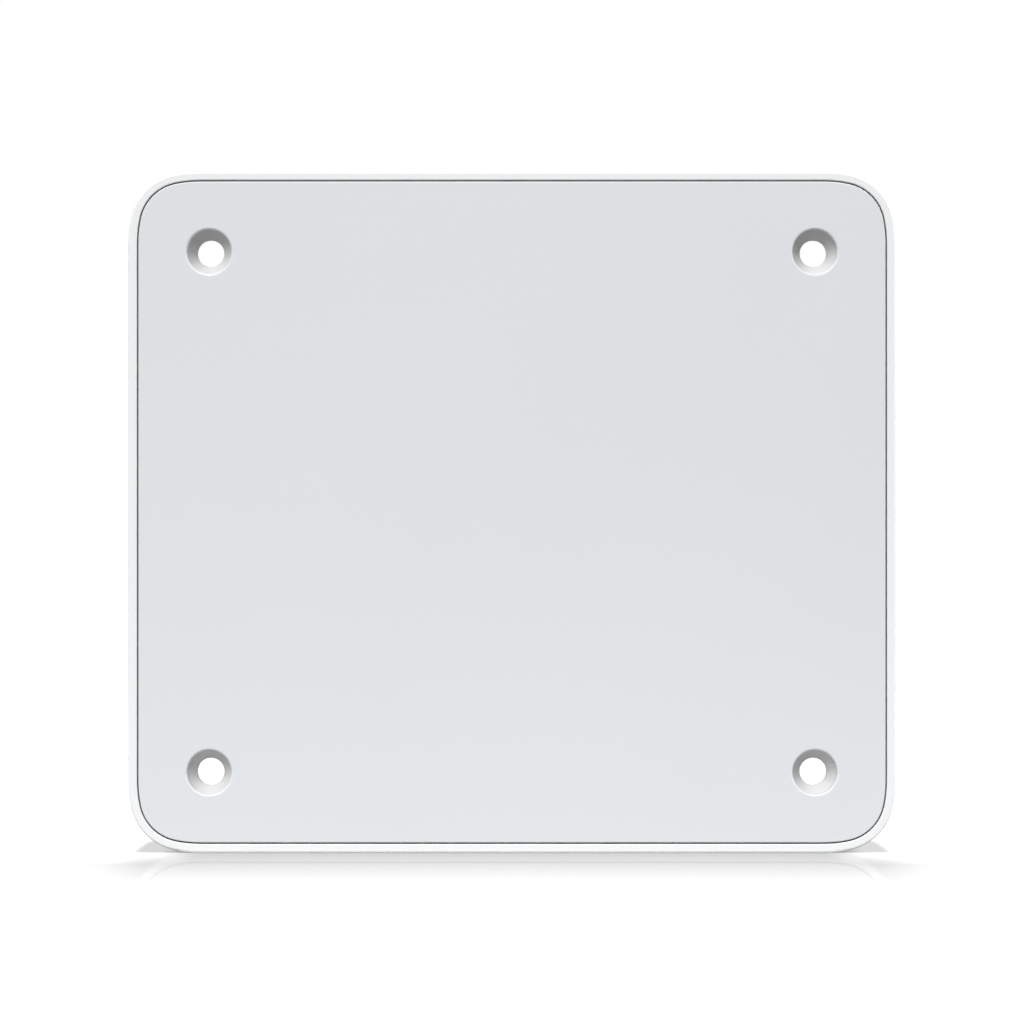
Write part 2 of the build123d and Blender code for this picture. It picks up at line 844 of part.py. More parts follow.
with BuildPart() as poe_bobbin:
    # a spool round the centre post, whose upper flange carries the two rails of pins
    spool_low = core_low + core_plate + core_gap
    spool_high = core_high - core_plate - core_gap
    spool_bore = core_post_radius + bobbin_clearance
    spool_radius = spool_bore + bobbin_wall
    flange_across = 2 * bobbin_flange_radius
    rail_across, rail_along = pin_rail_size
    rail_back = board_back - pin_rail_lift
    post(core_x, core_z, spool_radius, spool_low, spool_high)
    post(core_x, core_z, bobbin_flange_radius, spool_low, spool_low + bobbin_flange)
    flange_low = spool_high - bobbin_flange
    block(core_x, core_z, flange_across, bobbin_length, flange_low, spool_high)
    for side in (-1, 1):
        rail_z = core_z + side * (bobbin_length - rail_along) / 2
        block(core_x, rail_z, rail_across, rail_along, flange_low, rail_back)
        for pin in range(pin_count):
            pin_x = core_x + (pin - (pin_count - 1) / 2) * pin_pitch
            block(pin_x, rail_z + side * pin_shift, *pin_size, rail_back, board_back)
    post(core_x, core_z, spool_bore, spool_low, spool_high, Mode.SUBTRACT)
finish(poe_bobbin, "poe_bobbin")

with BuildPart() as poe_winding:
    winding_low, winding_high = spool_low + bobbin_flange, spool_high - bobbin_flange
    post(core_x, core_z, winding_radius, winding_low, winding_high)
    post(core_x, core_z, spool_radius, winding_low, winding_high, Mode.SUBTRACT)
finish(poe_winding, "poe_winding")

with BuildPart() as poe_controller:
    controller_z = core_z - controller_drop
    block(controller_x, controller_z, controller_size, controller_size, thin_face, board_back)
finish(poe_controller, "poe_controller")

with BuildPart() as bulk_capacitors:
    base_face = board_back - capacitor_base_height
    for drop in capacitor_drops:
        z = core_z - drop
        block(
            capacitor_x,
            z,
            capacitor_base,
            capacitor_base,
            base_face,
            board_back,
            corner=capacitor_base_corner,
        )
        post(capacitor_x, z, capacitor_radius, board_back - capacitor_height, base_face)
finish(bulk_capacitors, "bulk_capacitors")

with BuildPart() as power_inductors:
    inductor_places = (
        (-38.0, core_z + 2.5),
        (-25.0, core_z - 22.0),
        (36.0, network_row_z - 12.0),
    )
    for x, z in inductor_places:
        body_low, body_high = board_back - inductor_height, board_back - inductor_pad_height
        block(x, z, inductor_size, inductor_size, body_low, body_high, corner=inductor_corner_radius)
        block(x, z, *inductor_pad_size, body_high, board_back)
finish(power_inductors, "power_inductors")

# ---------------------------------------------------------------- small components
chip_part = (1.6, 0.8, 0.8)
tiny_part = (1.0, 0.5, 0.5)


def part_grid(x, z, columns, rows, pitch_x, pitch_z, size, in_front):
    """Adds a grid of small rectangular components to one side of the board."""
    across, along, tall = size
    low = board_front if in_front else board_back - tall
    with BuildSketch(level(low)) as grid:
        with Locations((x, z)):
            with GridLocations(pitch_x, pitch_z, columns, rows):
                Rectangle(across, along)
    extrude(grid.sketch, amount=tall)


with BuildPart() as small_components:
    part_grid(-4.5, shield_middle_z, 5, 5, 2.6, 2.0, tiny_part, True)
    part_grid(radio_shield_x, shield_middle_z, 3, 3, 3.0, 2.2, tiny_part, True)
    part_grid(-radio_shield_x, shield_middle_z, 3, 3, 3.0, 2.2, tiny_part, True)
    part_grid(24.0, network_row_z + 6.4, 4, 1, 2.6, 2.0, chip_part, False)
    part_grid(29.5, network_row_z - 8.5, 2, 2, 2.6, 1.8, chip_part, False)
    part_grid(-30.0, core_z - 14.5, 2, 4, 2.6, 1.8, chip_part, False)
    part_grid(0, status_z + 6.0, 2, 1, 3.0, 1.8, chip_part, True)
    part_grid(-26.0, -30.0, 4, 3, 3.0, 2.4, chip_part, True)
    part_grid(24.0, -8.0, 5, 2, 3.0, 2.4, chip_part, True)
finish(small_components, "small_components")

# ---------------------------------------------------------------- status light
with BuildPart() as status_led:
    block(0, status_z, 1.6, 1.5, board_front, board_front + led_height)
finish(status_led, "status_led")

with BuildPart() as light_guide:
    guide_low = board_front + led_height + light_guide_gap
    post(0, status_z, light_guide_radius, guide_low, panel_back + light_guide_depth)
finish(light_guide, "light_guide")

# ---------------------------------------------------------------- reset button and its switch
with BuildPart() as reset_switch:
    block(reset_x, reset_z, switch_size, switch_size, switch_face, board_back, corner=0.4)
    plunger_bore = plunger_radius + plunger_clearance
    bore_end = plunger_face + plunger_length + plunger_travel + plunger_clearance
    post(reset_x, reset_z, plunger_bore, switch_face, bore_end, Mode.SUBTRACT)
    for side in (-1, 1):
        for end in (-1, 1):
            lead_x = reset_x + side * (switch_size / 2 + 0.6)
            block(lead_x, reset_z + end * 2.2, 1.2, 0.7, board_back - 0.3, board_back)
finish(reset_switch, "reset_switch")

with BuildPart() as switch_plunger:
    post(reset_x, reset_z, plunger_radius, plunger_face, plunger_face + plunger_length)
finish(switch_plunger, "switch_plunger")

with BuildPart() as reset_button:
    flange_low = back_inside + reset_flange_gap
    post(reset_x, reset_z, reset_cap_radius, stand_off + reset_recess, flange_low)
    post(reset_x, reset_z, reset_flange_radius, flange_low, flange_low + reset_flange_height)
    post(reset_x, reset_z, reset_stem_radius, flange_low, plunger_face)
finish(reset_button, "reset_button")

# ---------------------------------------------------------------- antennas
antenna_width = carrier_width - 2 * antenna_margin
antenna_places = {
    "2ghz_lower": (-1, -1),
    "2ghz_upper": (-1, 1),
    "5ghz_lower": (1, -1),
    "5ghz_upper": (1, 1),
}
antenna_lengths = {"2ghz": 23.0, "5ghz": 22.0}
slot_lengths = {"2ghz": 15.0, "5ghz": 9.0}


def antenna_plug_z(end):
    """Where the plug of an upper (end +1) or lower (end -1) antenna stands on the board."""
    return end * antenna_z + (upper_plug_rise if end > 0 else lower_plug_rise)


def corner_radii(points):
    """A radius for each corner of a route, as large as the two runs beside it allow."""
    radii = []
    for before, corner, after in zip(points, points[1:], points[2:]):
        run_in = Vector(*corner) - Vector(*before)
        run_out = Vector(*after) - Vector(*corner)
        half_turn = radians(run_in.get_angle(run_out) / 2)
        radii.append(0.45 * min(run_in.length, run_out.length) / tan(half_turn))
    return radii


for name, (side, end) in antenna_places.items():
    x, z = side * antenna_x, end * antenna_z
    band = name.split("_")[0]

    # moulded carrier, held by two headed pins of the tray
    with BuildPart() as carrier:
        carrier_low = carrier_top - carrier_thickness
        block(x, z, carrier_width, carrier_length, carrier_low, carrier_top, corner=1.5)
        for stake in (-1, 1):
            hole_z = z + stake * stake_spacing / 2
            hole_radius = stake_pin_radius + stake_hole_clearance
            post(x, hole_z, hole_radius, carrier_low, carrier_top, Mode.SUBTRACT)
    finish(carrier, f"antenna_carrier_{name}")

    # stamped sheet with a radiating slot, and a wall folded up along its inner edge
    with BuildPart() as antenna:
        antenna_length = antenna_lengths[band]
        block(x, z, antenna_width, antenna_length, carrier_top, antenna_face, corner=0.5)
        slot_x = x + side * antenna_width / 4
        slot_length = slot_lengths[band]
        slot_z = z - (antenna_length - slot_length) / 2 + 2.0
        block(slot_x, slot_z, 1.0, slot_length, carrier_top, antenna_face, Mode.SUBTRACT)
        wall_x = x + side * (antenna_width - antenna_sheet) / 2
        wall_top = antenna_face + antenna_wall_height
        block(wall_x, z, antenna_sheet, antenna_length - 4, antenna_face, wall_top)
        for stake in (-1, 1):
            hole_z = z + stake * stake_spacing / 2
            hole_radius = stake_pin_radius + stake_hole_clearance
            post(x, hole_z, hole_radius, carrier_top, antenna_face, Mode.SUBTRACT)
    finish(antenna, f"antenna_{name}")

    # coaxial pigtail from the board's plug to the stamping
    feed_z = z - end * feed_offset
    crimp_end = antenna_plug_z(end) - crimp_reach
    route = [
        (side * plug_x, crimp_end),
        (side * plug_x, (crimp_end + feed_z) / 2),
        (side * (board_edge_x + 2.0), feed_z),
        (side * (antenna_x - 2.0), feed_z),
    ]
    radii = corner_radii(route)
    with BuildPart() as cable:
        with BuildLine(level(cable_level)) as path:
            FilletPolyline(*route, radius=radii)
        with BuildSketch(Plane(origin=path.line @ 0, z_dir=path.line % 0)) as section:
            Circle(cable_radius)
        sweep(section.sketch, path=path.line)
    finish(cable, f"antenna_cable_{name}")

with BuildPart() as antenna_sockets:
    for side, end in antenna_places.values():
        plug_z = antenna_plug_z(end)
        block(side * plug_x, plug_z, 2.6, 2.6, board_front, board_front + socket_base)
        post(side * plug_x, plug_z, socket_radius, board_front, board_front + socket_height)
finish(antenna_sockets, "antenna_sockets")

with BuildPart() as antenna_plugs:
    for side, end in antenna_places.values():
        plug_z = antenna_plug_z(end)
        plug_low = board_front + socket_base
        socket_top = board_front + socket_height
        barrel_length = crimp_reach - plug_radius + plug_overlap
        barrel_z = plug_z - crimp_reach + barrel_length / 2
        post(side * plug_x, plug_z, plug_radius, plug_low, board_front + plug_height)
        block(side * plug_x, barrel_z, 1.8, barrel_length, plug_low, board_front + plug_height)
        post(side * plug_x, plug_z, socket_radius, plug_low, socket_top, Mode.SUBTRACT)
finish(antenna_plugs, "antenna_plugs")
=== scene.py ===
"""Looks of a ceiling access point: a white moulded casing, its inset panel and its electronics.

Metres throughout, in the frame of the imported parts: X across, Z up, the front looks along -Y and
the ceiling is the plane y = 0.  Lengths that a maker would read in millimetres end in _mm.
"""

import json
from math import cos, pi, radians, sin

import bpy
import numpy as np
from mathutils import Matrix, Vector


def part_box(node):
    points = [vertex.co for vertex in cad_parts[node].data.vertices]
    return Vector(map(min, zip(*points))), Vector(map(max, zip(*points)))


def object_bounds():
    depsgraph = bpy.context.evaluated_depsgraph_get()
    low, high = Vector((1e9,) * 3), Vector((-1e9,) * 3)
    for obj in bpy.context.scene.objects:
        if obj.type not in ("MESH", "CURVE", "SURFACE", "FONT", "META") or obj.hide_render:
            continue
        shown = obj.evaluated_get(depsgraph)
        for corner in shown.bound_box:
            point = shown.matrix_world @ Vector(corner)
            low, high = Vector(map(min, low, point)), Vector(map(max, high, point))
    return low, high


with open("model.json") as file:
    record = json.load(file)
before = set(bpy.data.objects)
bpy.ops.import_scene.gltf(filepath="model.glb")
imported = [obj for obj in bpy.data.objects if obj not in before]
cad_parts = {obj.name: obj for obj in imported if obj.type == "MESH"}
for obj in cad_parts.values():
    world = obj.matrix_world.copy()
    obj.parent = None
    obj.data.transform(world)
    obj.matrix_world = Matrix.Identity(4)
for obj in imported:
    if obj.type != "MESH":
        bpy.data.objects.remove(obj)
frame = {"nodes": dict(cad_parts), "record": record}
cad_low, cad_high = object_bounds()

MM = 0.001
FRONT = cad_low.y
FLOOR = cad_low.z


# ---------------------------------------------------------------- colours and nodes
def linear(colour):
    """Turns an sRGB hex value such as "E4E6E8" into linear red, green, blue and alpha."""
    channels = np.array([int(colour[i : i + 2], 16) for i in (0, 2, 4)]) / 255
    curved = ((channels + 0.055) / 1.055) ** 2.4
    return (*np.where(channels <= 0.04045, channels / 12.92, curved).tolist(), 1.0)


def wire(tree, node, inputs):
    """Gives a node's inputs, by name or number, a plain value or another node's output."""
    for key, value in inputs.items():
        if isinstance(value, bpy.types.NodeSocket):
            tree.links.new(value, node.inputs[key])
        else:
            node.inputs[key].default_value = value


def add(tree, kind, inputs=None, settings=None):
    """Adds a shader node with its settings, inputs and links."""
    node = tree.nodes.new("ShaderNode" + kind)
    for key, value in (settings or {}).items():
        setattr(node, key, value)
    wire(tree, node, inputs or {})
    return node


def per_metre(size_mm):
    """The scale at which a noise or cell pattern has features size_mm across."""
    return 1 / (size_mm * MM)


def rings_per_metre(pitch_mm):
    """The scale at which a wave pattern repeats every pitch_mm; it counts 20 radians a unit."""
    return 2 * pi / (20 * pitch_mm * MM)


def new_material(name):
    """An empty material: returns it with its node tree, its shader and its Object coordinates."""
    material = bpy.data.materials.new(name)
    material.use_nodes = True
    tree = material.node_tree
    place = add(tree, "TexCoord").outputs["Object"]
    return material, tree, tree.nodes["Principled BSDF"], place


def dress(tree, shader, pattern, colours, roughness, depth_mm, values, tone=None):
    """Lets one 0 to 1 pattern set a shader's colour, roughness and relief.

    The pattern runs from the first colour and roughness to the second; depth_mm is how high it
    stands on the surface.  Values are plain inputs, and tone is a pattern for the colour alone.
    """
    low, high = (linear(colour) for colour in colours)
    colour = add(tree, "Mix", {0: tone or pattern, 6: low, 7: high}, {"data_type": "RGBA"})
    rough = add(tree, "MapRange", {"Value": pattern, "To Min": roughness[0], "To Max": roughness[1]})
    bump = add(tree, "Bump", {"Height": pattern, "Strength": 1.0, "Distance": depth_mm * MM})
    inputs = {
        "Base Color": colour.outputs[2],
        "Roughness": rough.outputs[0],
        "Normal": bump.outputs[0],
    }
    wire(tree, shader, {**inputs, **values})


# ---------------------------------------------------------------- white mouldings
def moulded_abs(name, colour, shade, roughness, grain_mm, depth_mm):
    """Injection-moulded ABS from a spark-eroded tool: satin, with a fine even grain.

    The tone drifts very slightly over tens of millimetres, as pigment does in a moulding.  The
    grain of such a tool is about 0.1 mm and is drawn coarser, so that it shows.
    """
    drift_mm = 45
    roughness_spread = 0.06
    material, tree, shader, place = new_material(name)
    drift = add(tree, "TexNoise", {"Vector": place, "Scale": per_metre(drift_mm), "Detail": 2.0})
    grain = add(tree, "TexNoise", {"Vector": place, "Scale": per_metre(grain_mm), "Detail": 3.0})
    rough = (roughness - roughness_spread, roughness + roughness_spread)
    pattern, tone = grain.outputs["Fac"], drift.outputs["Fac"]
    dress(tree, shader, pattern, (colour, shade), rough, depth_mm, {"IOR": 1.53}, tone)
    return material, tree, shader, place


def housing_finish():
    """White ABS of the tray: neutral white, its satin face breaks highlights up softly."""
    return moulded_abs("moulded_white_abs", "F4F5F5", "F1F2F3", 0.42, 0.4, 0.006)[0]


def panel_finish():
    """ABS panel under a cool satin lacquer, with painted shade deeper in the screw pockets.

    The face reads a shade greyer and cooler than the rim around it.  From 0.1 mm behind the face the
    colour darkens, and from 0.45 mm down the pockets take a flat darker grey, painted shade.
    """
    shade_begins_mm, shade_full_mm = 0.1, 0.45
    material, tree, shader, place = moulded_abs(
        "satin_lacquered_abs", "E3E6E8", "E0E3E6", 0.45, 0.45, 0.007
    )
    lacquer = shader.inputs["Base Color"].links[0].from_socket
    depth = add(tree, "SeparateXYZ", {0: place}).outputs["Y"]
    # painted shade: deeper than the face, the colour blends into grey D2D2D2 in place of the shade in
    # the pockets
    limits = {"From Min": FRONT + shade_begins_mm * MM, "From Max": FRONT + shade_full_mm * MM}
    pocket_shade_share = add(tree, "MapRange", {"Value": depth, **limits}).outputs[0]
    tones = {0: pocket_shade_share, 6: lacquer, 7: linear("D2D2D2")}
    mixed = add(tree, "Mix", tones, {"data_type": "RGBA"})
    wire(tree, shader, {"Base Color": mixed.outputs[2]})
    return material


def button_finish():
    """Grey moulded ABS of the reset cap: plain, slightly glossier where fingers press it."""
    return moulded_abs("moulded_grey_abs", "77797B", "707274", 0.38, 0.3, 0.004)[0]


# ---------------------------------------------------------------- dark plastics and rubbers
def speckled(name, low, high, roughness, grain_mm, depth_mm, ior=1.5):
    """A filled or foamed material: two close tones in a fine speckle, rough in step with it."""
    material, tree, shader, place = new_material(name)
    speck = add(tree, "TexNoise", {"Vector": place, "Scale": per_metre(grain_mm), "Detail": 5.0})
    roughness_spread = 0.08
    rough = (roughness - roughness_spread, roughness + roughness_spread)
    dress(tree, shader, speck.outputs["Fac"], (low, high), rough, depth_mm, {"IOR": ior})
    return material


def foam_finish():
    """Black closed-cell foam: matt, pitted with cells, so the gap around the panel stays dark."""
    material, tree, shader, place = new_material("black_closed_cell_foam")
    cells = add(tree, "TexVoronoi", {"Vector": place, "Scale": per_metre(0.35)})
    colours = ("3A3C3E", "585A5C")
    dress(tree, shader, cells.outputs["Distance"], colours, (0.92, 0.98), 0.06, {"IOR": 1.45})
    return material


def pad_finish():
    """Filled silicone of the thermal pads: dull blue-grey, speckled by its ceramic filler."""
    return speckled("filled_silicone", "5F6C7B", "7C8998", 0.75, 0.25, 0.02, 1.41)


def epoxy_finish():
    """Moulded epoxy of the chips: near-black and matt, with the fine grit of its mould."""
    return speckled("moulded_epoxy", "17181A", "232427", 0.55, 0.12, 0.006, 1.55)


def black_polyester_finish():
    """Glass-filled polyester of jack insert, bobbin and switch: black, faintly streaked."""
    return speckled("glass_filled_polyester", "111213", "1E1F20", 0.42, 0.5, 0.008, 1.57)


def acetal_finish():
    """Dark acetal of the switch plunger: waxy and smooth, it takes a soft highlight."""
    return speckled("moulded_acetal", "26272A", "2E2F32", 0.33, 0.8, 0.003, 1.48)


def ferrite_finish():
    """Pressed and fired ferrite: charcoal, dull, with a slight metallic glint in its grain."""
    return speckled("fired_ferrite", "26272A", "3A3B3E", 0.5, 0.18, 0.015, 2.0)


def cable_finish():
    """Fluoropolymer jacket of the antenna cables: smooth, slippery black."""
    return speckled("fluoropolymer_jacket", "0E0E0F", "161617", 0.25, 1.2, 0.003, 1.35)


def capacitor_finish():
    """Fired ceramic of the small capacitors: tan, slightly uneven from one to the next."""
    return speckled("fired_capacitor_ceramic", "8A6B4C", "B08D66", 0.45, 1.3, 0.01, 1.7)


# ---------------------------------------------------------------- clear and film materials
def label_finish():
    """Blank polyester label film: whiter and smoother than the plastic under it."""
    material, tree, shader, place = new_material("polyester_label_film")
    ripple = add(tree, "TexNoise", {"Vector": place, "Scale": per_metre(9), "Detail": 1.0})
    colours = ("EDEDEA", "E8E8E5")
    dress(tree, shader, ripple.outputs["Fac"], colours, (0.22, 0.3), 0.03, {"IOR": 1.6})
    return material


def tape_finish():
    """Yellow polyester tape round the transformer winding, with an edge at every turn."""
    material, tree, shader, place = new_material("polyester_winding_tape")
    turns = add(
        tree,
        "TexWave",
        {"Vector": place, "Scale": rings_per_metre(2.5), "Distortion": 0.4},
        {"bands_direction": "Y", "wave_profile": "SAW"},
    )
    colours = ("C79A1B", "E0B838")
    dress(tree, shader, turns.outputs["Fac"], colours, (0.2, 0.32), 0.05, {"IOR": 1.6})
    return material


def acrylic_finish():
    """Frosted acrylic of the light guide: milky, lit through rather than seen through."""
    material, tree, shader, place = new_material("frosted_acrylic")
    frost = add(tree, "TexNoise", {"Vector": place, "Scale": per_metre(0.3), "Detail": 4.0})
    values = {"IOR": 1.49, "Transmission Weight": 0.6}
    dress(tree, shader, frost.outputs["Fac"], ("E9EEF0", "F4F7F8"), (0.4, 0.55), 0.01, values)
    return material


def led_finish():
    """Clear epoxy over the yellow phosphor of the status light's diode, unlit."""
    material, tree, shader, place = new_material("epoxy_over_phosphor")
    phosphor = add(tree, "TexNoise", {"Vector": place, "Scale": per_metre(0.6), "Detail": 3.0})
    values = {"IOR": 1.54, "Coat Weight": 0.6}
    dress(tree, shader, phosphor.outputs["Fac"], ("E6DFA0", "F0EBC4"), (0.2, 0.3), 0.002, values)
    return material


def board_finish():
    """Green solder mask over copper tracks, which stand up under it as slightly paler ribs.

    The tracks are bands that run across in some cells of a coarse pattern and along in others.
    """
    track_pitch_mm = 0.9
    region_mm = 9
    copper_mm = 0.06
    material, tree, shader, place = new_material("solder_masked_laminate")
    scale = rings_per_metre(track_pitch_mm)
    across = add(tree, "TexWave", {"Vector": place, "Scale": scale}, {"bands_direction": "Z"})
    along = add(tree, "TexWave", {"Vector": place, "Scale": scale}, {"bands_direction": "X"})
    region = add(
        tree,
        "TexVoronoi",
        {"Vector": place, "Scale": per_metre(region_mm)},
        {"distance": "CHEBYCHEV"},
    )
    turned = add(tree, "Math", {0: region.outputs["Color"], 1: 0.5}, {"operation": "GREATER_THAN"})
    tracks = add(tree, "Mix", {0: turned.outputs[0], 2: across.outputs["Fac"], 3: along.outputs["Fac"]})
    ribs = add(
        tree, "MapRange", {"Value": tracks.outputs[0], "From Min": 0.45, "From Max": 0.55}
    ).outputs[0]
    dress(tree, shader, ribs, ("0B3D24", "14603A"), (0.32, 0.24), copper_mm, {"IOR": 1.55})
    return material


# ---------------------------------------------------------------- metals
def plain_metal(name, low, high, rough_low, rough_high, grain_mm, depth_mm, stretch=(1, 1, 1)):
    """A bare or plated metal: two close tones and two finishes in one grain, which stretch draws out."""
    material, tree, shader, place = new_material(name)
    stretched = add(tree, "Mapping", {"Vector": place, "Scale": stretch}).outputs[0]
    grain = add(tree, "TexNoise", {"Vector": stretched, "Scale": per_metre(grain_mm), "Detail": 4.0})
    rough = (rough_low, rough_high)
    dress(tree, shader, grain.outputs["Fac"], (low, high), rough, depth_mm, {"Metallic": 1.0})
    return material


def zinc_finish():
    """Zinc-plated steel of the screws: cool silver with a faint blue cast, lightly clouded."""
    return plain_metal("zinc_plated_steel", "B4BAC2", "D2D5D8", 0.24, 0.42, 1.0, 0.006)


def cast_finish():
    """Die-cast aluminium of the heat sink: pale grey, tumbled, with a soft crystalline mottle."""
    return plain_metal("die_cast_aluminium", "B3B5B8", "CDCFD1", 0.42, 0.6, 0.7, 0.02)


def can_finish():
    """Drawn aluminium of the capacitor cans: bright, with fine lines round each can."""
    return plain_metal("drawn_aluminium", "C6C8CA", "DCDDDE", 0.2, 0.34, 0.4, 0.004, (0.2, 1, 0.2))


def tin_finish():
    """Tin-plated steel of the shields and jack shell: bright, with rolling lines along it."""
    return plain_metal("tin_plated_steel", "C2C1BC", "D8D7D2", 0.2, 0.36, 0.5, 0.004, (1, 1, 0.08))


def gold_finish():
    """Gold flash on the contacts and antenna plugs: warm and smooth, duller where it is thin."""
    return plain_metal("gold_plated_bronze", "C9A04C", "E2BF6E", 0.2, 0.34, 0.6, 0.003)


def nickel_finish():
    """Nickel-plated brass of the antennas: silvery with a warm edge, slightly clouded."""
    return plain_metal("nickel_plated_brass", "BDB7A4", "D3CDBA", 0.26, 0.4, 1.4, 0.004)


def turned_finish():
    """Turned aluminium of the mounting sleeves: fine rings about each sleeve's own axis.

    The four sleeves mirror each other, so the pattern folds every place into one quarter and is
    centred on that quarter's screw.  A lathe leaves rings 0.1 mm apart, which are drawn at 0.3.
    """
    screw_low, screw_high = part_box("mounting_sleeve_upper_right")
    axis = ((screw_low[0] + screw_high[0]) / 2, 0, (screw_low[2] + screw_high[2]) / 2)
    material, tree, shader, place = new_material("turned_aluminium")
    folded = add(tree, "VectorMath", {0: place}, {"operation": "ABSOLUTE"}).outputs[0]
    centred = add(tree, "VectorMath", {0: folded, 1: axis}, {"operation": "SUBTRACT"}).outputs[0]
    rings = add(
        tree,
        "TexWave",
        {"Vector": centred, "Scale": rings_per_metre(0.3), "Distortion": 0.6, "Detail": 2.0},
        {"wave_type": "RINGS", "rings_direction": "Y"},
    )
    colours = ("C4C6C8", "D6D8DA")
    dress(tree, shader, rings.outputs["Fac"], colours, (0.26, 0.4), 0.006, {"Metallic": 1.0})
    return material


# ---------------------------------------------------------------- a finish for every part
finishes = {
    "housing_white": housing_finish(),
    "panel_white": panel_finish(),
    "gasket_foam": foam_finish(),
    "zinc_steel": zinc_finish(),
    "label_film": label_finish(),
    "board_laminate": board_finish(),
    "cast_aluminium": cast_finish(),
    "sleeve_aluminium": turned_finish(),
    "can_aluminium": can_finish(),
    "tinned_steel": tin_finish(),
    "pad_silicone": pad_finish(),
    "chip_epoxy": epoxy_finish(),
    "black_plastic": black_polyester_finish(),
    "gold_plate": gold_finish(),
    "nickel_brass": nickel_finish(),
    "ferrite": ferrite_finish(),
    "winding_tape": tape_finish(),
    "capacitor_ceramic": capacitor_finish(),
    "led_resin": led_finish(),
    "clear_acrylic": acrylic_finish(),
    "plunger_plastic": acetal_finish(),
    "button_grey": button_finish(),
    "cable_jacket": cable_finish(),
}
slots = {part["node"]: part["material_slot"] for part in frame["record"]["subparts"]}
for name, node in frame["nodes"].items():
    node.data.materials.clear()
    node.data.materials.append(finishes[slots[name]])


# ---------------------------------------------------------------- floor
def disc(name, radius, level, rings=24, steps=96):
    """A flat disc: point (r, a) lies at (r cos a, r sin a), on rings evenly spaced to the edge."""
    across = np.linspace(radius / rings, radius, rings)[:, None]
    turn = np.arange(steps)[None, :] * 2 * pi / steps
    grid = np.stack([across * np.cos(turn), across * np.sin(turn), level + 0 * across * turn], -1)
    points = np.vstack([[[0, 0, level]], grid.reshape(-1, 3)])
    inner = 1 + np.arange((rings - 1) * steps).reshape(rings - 1, steps)
    beside = np.roll(inner, -1, 1)
    quads = np.stack([inner, inner + steps, beside + steps, beside], -1).reshape(-1, 4)
    centre = np.stack([0 * inner[0], inner[0], beside[0]], -1)
    mesh = bpy.data.meshes.new(name)
    mesh.from_pydata(points.tolist(), [], centre.tolist() + quads.tolist())
    piece = bpy.data.objects.new(name, mesh)
    bpy.context.scene.collection.objects.link(piece)
    return piece


def floor_finish(solid_radius, clear_radius):
    """Pale satin board with a faint gloss, which fades out into the white around it.

    Under the rounded lower corners of the casing, pale board and pale casing throw light to and
    fro; the board glows there instead, in a band under each corner.  The glow fades in from a
    little in front of the casing and is full from just behind its front face.
    """
    gloss_share = 0.12
    corner_glow = 0.62
    corner_starts, corner_full, corner_fades, corner_ends = (mm * MM for mm in (52, 60, 64, 76))
    glow_starts, glow_full = FRONT - 18 * MM, FRONT + 2 * MM
    material, tree, shader, place = new_material("pale_satin_board")
    tooth = add(tree, "TexNoise", {"Vector": place, "Scale": per_metre(3), "Detail": 3.0})
    tones = {0: tooth.outputs["Fac"], 6: linear("888888"), 7: linear("8C8C8C")}
    colour = add(tree, "Mix", tones, {"data_type": "RGBA"}).outputs[2]
    matt = add(tree, "BsdfDiffuse", {"Color": colour}).outputs[0]
    gloss = add(tree, "BsdfGlossy", {"Color": linear("FFFFFF"), "Roughness": 0.03}).outputs[0]
    satin = add(tree, "MixShader", {0: gloss_share, 1: matt, 2: gloss}).outputs[0]

    position = add(tree, "SeparateXYZ", {0: place}).outputs
    aside = add(tree, "Math", {0: position["X"]}, {"operation": "ABSOLUTE"}).outputs[0]
    strength = corner_glow
    for value, low, high in (
        (aside, corner_starts, corner_full),
        (aside, corner_ends, corner_fades),
        (position["Y"], glow_starts, glow_full),
    ):
        limits = {"Value": value, "From Min": low, "From Max": high}
        share = add(tree, "MapRange", limits, {"interpolation_type": "SMOOTHSTEP"}).outputs[0]
        strength = add(tree, "Math", {0: share, 1: strength}, {"operation": "MULTIPLY"}).outputs[0]
    glow = add(tree, "Emission", {"Color": linear("FFFFFF"), "Strength": strength}).outputs[0]
    board = add(tree, "AddShader", {0: satin, 1: glow}).outputs[0]

    distance = add(tree, "VectorMath", {0: place}, {"operation": "LENGTH"}).outputs["Value"]
    limits = {"Value": distance, "From Min": solid_radius, "From Max": clear_radius}
    fade = add(tree, "MapRange", limits, {"interpolation_type": "SMOOTHERSTEP"}).outputs[0]
    clear = add(tree, "BsdfTransparent").outputs[0]
    blend = add(tree, "MixShader", {0: fade, 1: board, 2: clear}).outputs[0]
    tree.nodes.remove(shader)
    wire(tree, tree.nodes["Material Output"], {"Surface": blend})
    return material


FLOOR_RADIUS = 0.75
floor = disc("floor", FLOOR_RADIUS, FLOOR)
floor.data.materials.append(floor_finish(solid_radius=0.25, clear_radius=0.7))
# the floor itself throws no light on the casing: the two cards further down stand in for that
floor.visible_diffuse = False
floor.visible_glossy = False

# ---------------------------------------------------------------- light
LIGHT_DISTANCE = 4.0


def light_group(name, state):
    """A group for a lamp to light: the floor alone, or everything except the floor."""
    group = bpy.data.collections.new(name)
    group.objects.link(floor)
    group.collection_objects[0].light_linking.link_state = state
    return group


floor_only = light_group("floor_only", "INCLUDE")
all_but_floor = light_group("all_but_floor", "EXCLUDE")


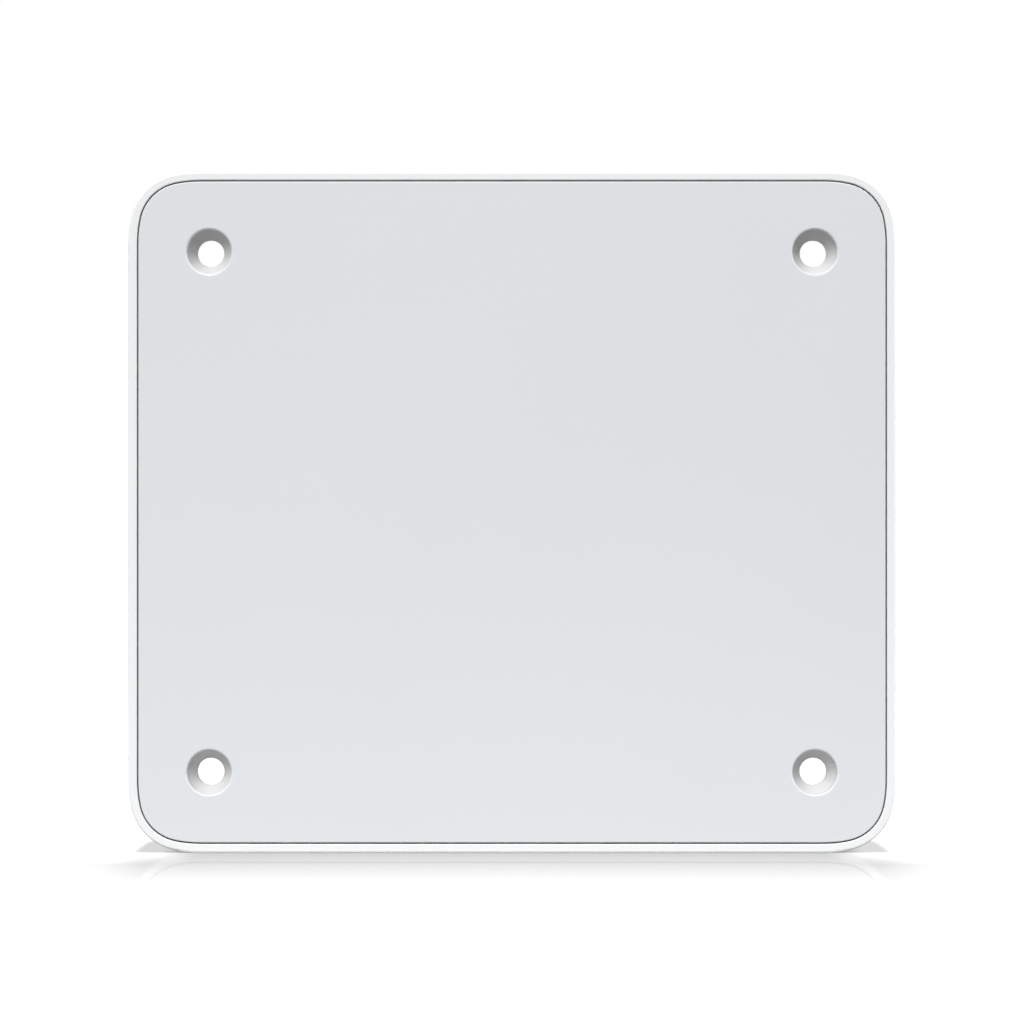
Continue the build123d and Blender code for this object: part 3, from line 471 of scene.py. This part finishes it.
def soft_light(name, turn, rise, width, length, watts, lit=all_but_floor):
    """A soft box, turn degrees to the right of the front and rise degrees up.

    One that hangs overhead has its width along X and its length along Y.
    """
    lamp = bpy.data.lights.new(name, "AREA")
    lamp.shape = "RECTANGLE"
    lamp.size = width
    lamp.size_y = length
    lamp.energy = watts
    light = bpy.data.objects.new(name, lamp)
    bpy.context.scene.collection.objects.link(light)
    turn, rise = radians(turn), radians(rise)
    towards = Vector((sin(turn) * cos(rise), -cos(turn) * cos(rise), sin(rise)))
    light.location = towards * LIGHT_DISTANCE
    light.rotation_euler = (-towards).to_track_quat("-Z", "Y").to_euler()
    light.light_linking.receiver_collection = lit


soft_light("key", -25, 50, 1.8, 1.8, 109)
soft_light("top", 0, 50, 1.8, 1.8, 22)
soft_light("fill_right", 25, 50, 1.8, 1.8, 38)
soft_light("fill_left", -40, 25, 1.8, 1.8, 17)
soft_light("edge_right", 90, 10, 1.8, 1.8, 94)
soft_light("edge_left", -90, 10, 1.8, 1.8, 24)
soft_light("fill_behind", 150, 20, 1.8, 1.8, 88)
# over and a little behind the casing: it whitens the floor and draws the soft shadow in front
soft_light("overhead", 180, 84, 1.2, 3.7, 935, floor_only)


def bounce_card(name, start, end, lift, width, radiance):
    """A lit card on the floor that throws light up, as a pale floor would.

    It runs from start to end, both counted forwards from the front face.  A lamp of area A
    gives out a radiance L for pi * A * L watts.
    """
    lamp = bpy.data.lights.new(name, "AREA")
    lamp.shape = "RECTANGLE"
    lamp.size = width
    lamp.size_y = end - start
    lamp.energy = pi * width * (end - start) * radiance
    card = bpy.data.objects.new(name, lamp)
    bpy.context.scene.collection.objects.link(card)
    card.location = (0, FRONT - (start + end) / 2, FLOOR + lift)
    card.rotation_euler = (pi, 0, 0)
    card.visible_camera = False
    card.visible_glossy = False


# the wide card lifts the lower part of the panel, the narrow one the lower edge of the rim
bounce_card("wide_card", 0.1 * MM, 120 * MM, 0.1 * MM, 220 * MM, 0.36)
bounce_card("narrow_card", -0.6 * MM, 0.3 * MM, 0.02 * MM, 112 * MM, 0.7)

# the room is pure white to look at, but lights the casing only dimly
ROOM_LIGHT = 0.2
ROOM_WHITE = 1.0
world = bpy.data.worlds.new("studio")
bpy.context.scene.world = world
world.use_nodes = True
sky = world.node_tree
sky.nodes.clear()
seen = add(sky, "LightPath").outputs["Is Camera Ray"]
dim = add(sky, "Background", {"Color": linear("FFFFFF"), "Strength": ROOM_LIGHT})
white = add(sky, "Background", {"Color": linear("FFFFFF"), "Strength": ROOM_WHITE})
mixed = add(sky, "MixShader", {0: seen, 1: dim.outputs[0], 2: white.outputs[0]})
add(sky, "OutputWorld", {0: mixed.outputs[0]})

# ---------------------------------------------------------------- camera
# square to the front and a little below its middle; the shift frames the casing without tilting
VIEW_DISTANCE = 0.4066
VIEW_HEIGHT = -0.01075
SENSOR_MM = 36.0
LENS_MM = 85.08
camera_data = bpy.data.cameras.new("camera")
camera_data.sensor_width = SENSOR_MM
camera_data.lens = LENS_MM
camera_data.shift_y = 0.0625
camera_data.clip_start = 0.01
camera = bpy.data.objects.new("camera", camera_data)
bpy.context.scene.collection.objects.link(camera)
camera.location = (0, FRONT - VIEW_DISTANCE, VIEW_HEIGHT)
camera.rotation_euler = (pi / 2, 0, 0)
bpy.context.scene.camera = camera
bpy.context.scene.view_settings.view_transform = "Standard"
